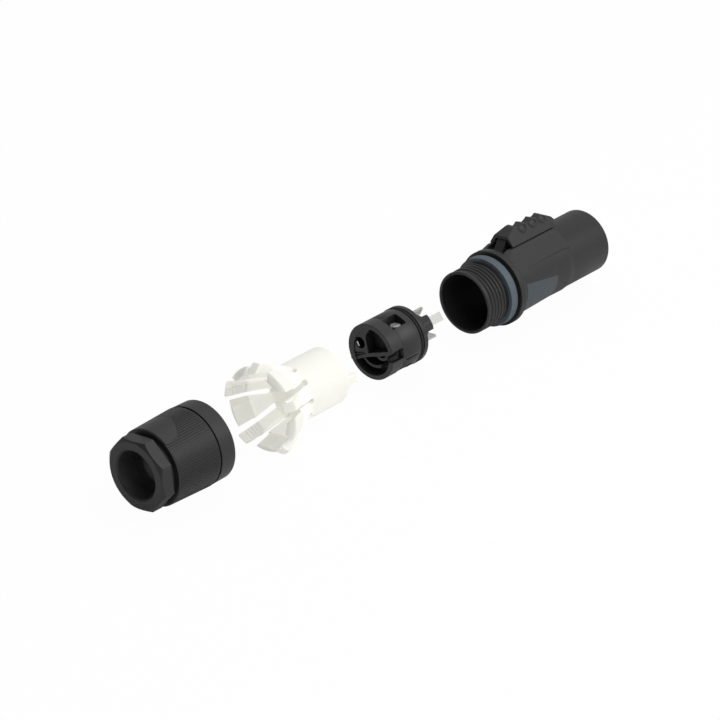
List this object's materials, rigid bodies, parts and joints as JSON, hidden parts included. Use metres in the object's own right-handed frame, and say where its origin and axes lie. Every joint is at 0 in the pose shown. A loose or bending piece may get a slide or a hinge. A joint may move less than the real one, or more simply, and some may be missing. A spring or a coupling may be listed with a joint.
{
  "type": "cable power connector",
  "caption": "Locking cable power connector: threaded housing with thumb latch, contact insert, collet and ribbed gland nut, shown apart on one axis.",
  "frame": {"origin": "centre of the barrel's mating face", "axes": "+X along the connector's axis toward the mating end, +Z toward the thumb latch"},
  "size_m": [0.2133, 0.0306, 0.0324],
  "materials": {
    "black_plastic": "satin moulded",
    "blue_grey": "satin moulded",
    "white_plastic": "satin translucent white",
    "black_rubber": "matt",
    "silver_contact": "silver-plated satin",
    "steel": "zinc-plated"
  },
  "bodies": {
    "housing_body": {"housing": "black_plastic", "seal_ring": "blue_grey", "grip_panel": "blue_grey", "latch_spring": "steel"},
    "latch_body": {"thumb_latch": "black_plastic"},
    "insert_body": {"insert_front": "black_plastic", "insert_rear": "black_plastic", "insert_seal": "black_rubber", "contact_1": "silver_contact", "contact_2": "silver_contact", "contact_3": "silver_contact", "terminal_cage_1": "silver_contact", "terminal_cage_2": "silver_contact", "terminal_cage_3": "silver_contact"},
    "plate_1": {"clamp_plate_1": "steel"},
    "screw_1": {"clamp_screw_1": "steel"},
    "plate_2": {"clamp_plate_2": "steel"},
    "screw_2": {"clamp_screw_2": "steel"},
    "plate_3": {"clamp_plate_3": "steel"},
    "screw_3": {"clamp_screw_3": "steel"},
    "chuck_body": {"chuck_sleeve": "white_plastic", "chuck_fingers": "white_plastic"},
    "seal_body": {"cable_seal": "black_rubber"},
    "nut_body": {"gland_nut": "black_plastic"}
  },
  "joints": [
    {"name": "latch_slide", "type": "slide", "parent": "housing_body", "child": "latch_body", "axis": [-1, 0, 0], "range_m": [0, 0.0035], "stiffness_N_per_m": 300, "springref_m": -0.002, "deforming": ["latch_spring"]},
    {"name": "insert_slide", "type": "slide", "parent": "housing_body", "child": "insert_body", "axis": [1, 0, 0], "range_m": [0, 0.0663]},
    {"name": "chuck_slide", "type": "slide", "parent": "insert_body", "child": "chuck_body", "axis": [1, 0, 0], "range_m": [0, 0.0206]},
    {"name": "gland_slide", "type": "slide", "parent": "chuck_body", "child": "seal_body", "axis": [1, 0, 0], "range_m": [0, 0.0443], "deforming": ["chuck_fingers"]},
    {"name": "gland_turn", "type": "hinge", "parent": "seal_body", "child": "nut_body", "pos_m": [-0.19845, 0, 0], "axis": [1, 0, 0], "continuous": true},
    {"name": "clamp_slide_1", "type": "slide", "parent": "insert_body", "child": "plate_1", "axis": [0, 0.0698, -0.9976], "range_m": [0, 0.00121]},
    {"name": "screw_turn_1", "type": "hinge", "parent": "plate_1", "child": "screw_1", "pos_m": [-0.10025, -0.00416, 0.00572], "axis": [0, 0.0698, -0.9976], "range_deg": [0, 874]},
    {"name": "clamp_slide_2", "type": "slide", "parent": "insert_body", "child": "plate_2", "axis": [0, 0.829, 0.5592], "range_m": [0, 0.00121]},
    {"name": "screw_turn_2", "type": "hinge", "parent": "plate_2", "child": "screw_2", "pos_m": [-0.10025, -0.00288, -0.00646], "axis": [0, 0.829, 0.5592], "range_deg": [0, 874]},
    {"name": "clamp_slide_3", "type": "slide", "parent": "insert_body", "child": "plate_3", "axis": [0, -0.8988, 0.4384], "range_m": [0, 0.00121]},
    {"name": "screw_turn_3", "type": "hinge", "parent": "plate_3", "child": "screw_3", "pos_m": [-0.10025, 0.00704, 0.00074], "axis": [0, -0.8988, 0.4384], "range_deg": [0, 874]}
  ],
  "couplings": [
    {"joint": "screw_turn_1", "follows": "clamp_slide_1", "rad_per_m": 12566},
    {"joint": "screw_turn_2", "follows": "clamp_slide_2", "rad_per_m": 12566},
    {"joint": "screw_turn_3", "follows": "clamp_slide_3", "rad_per_m": 12566}
  ]
}
